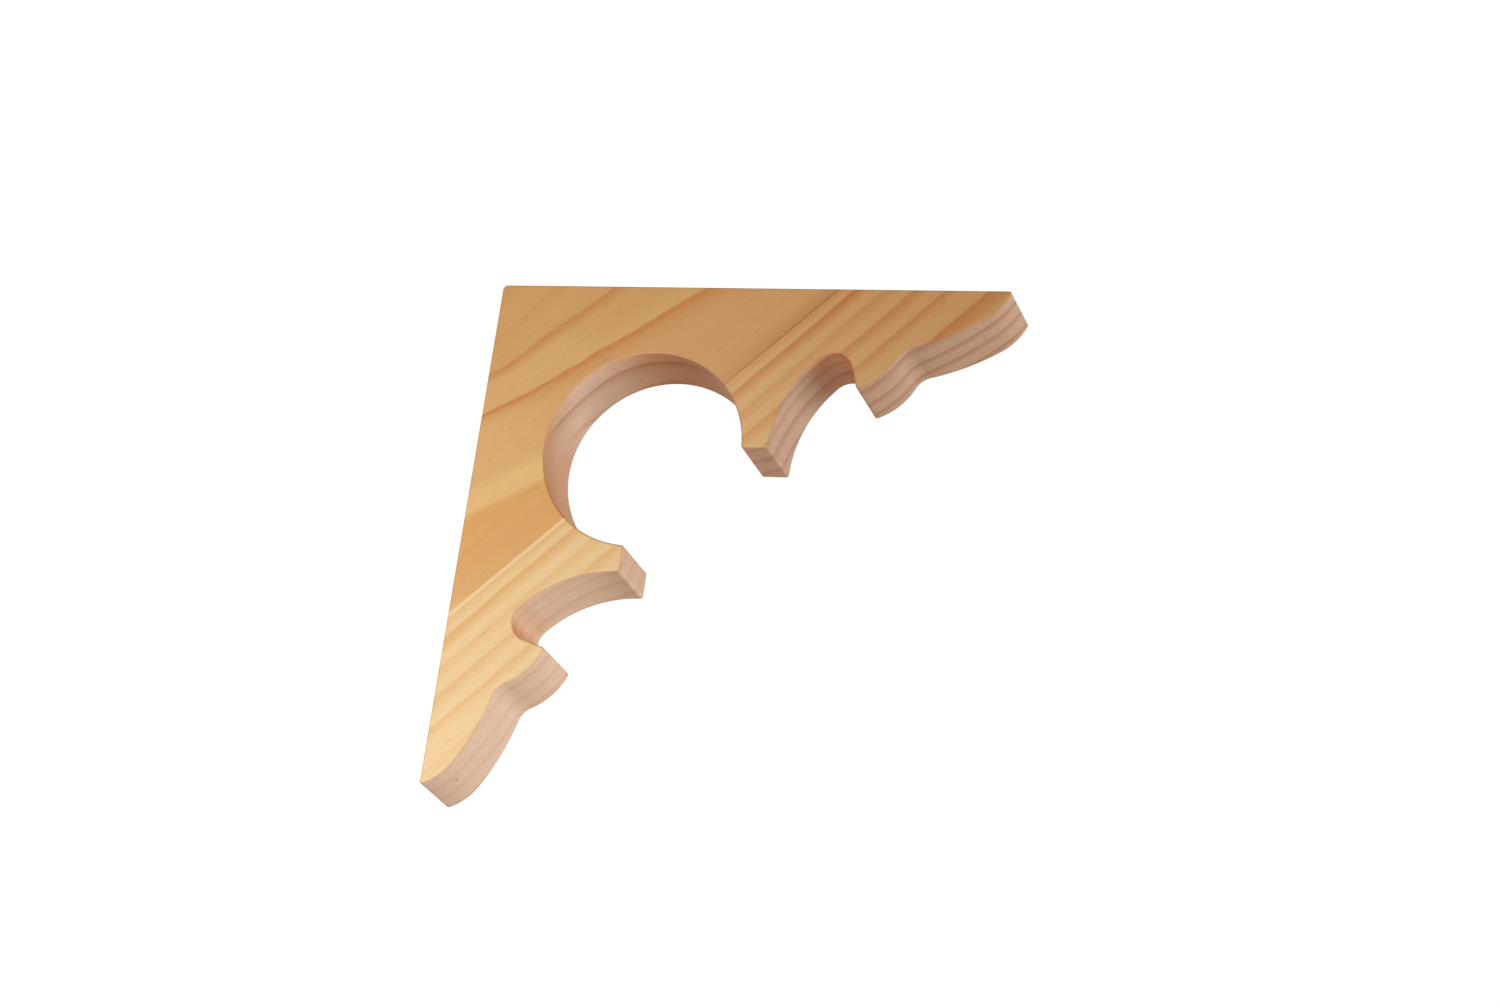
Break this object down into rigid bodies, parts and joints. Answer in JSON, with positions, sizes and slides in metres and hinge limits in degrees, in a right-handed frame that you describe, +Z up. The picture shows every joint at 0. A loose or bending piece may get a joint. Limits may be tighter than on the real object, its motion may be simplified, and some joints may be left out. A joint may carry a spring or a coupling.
{
  "type": "corner bracket",
  "caption": "Fretted wooden corner bracket with a round cut-out and scalloped arms, fixed between a post and a beam.",
  "frame": {"origin": "middle of the flat face that lies against the post", "axes": "+Z up, +X along the beam away from the post, Y across the thickness with the front face towards -Y"},
  "size_m": [0.254, 0.0382, 0.254],
  "materials": {
    "pine": "bare pine, planed on its faces and sawn and sanded on its edges"
  },
  "bodies": {
    "root": {"bracket": "pine"}
  },
  "joints": []
}
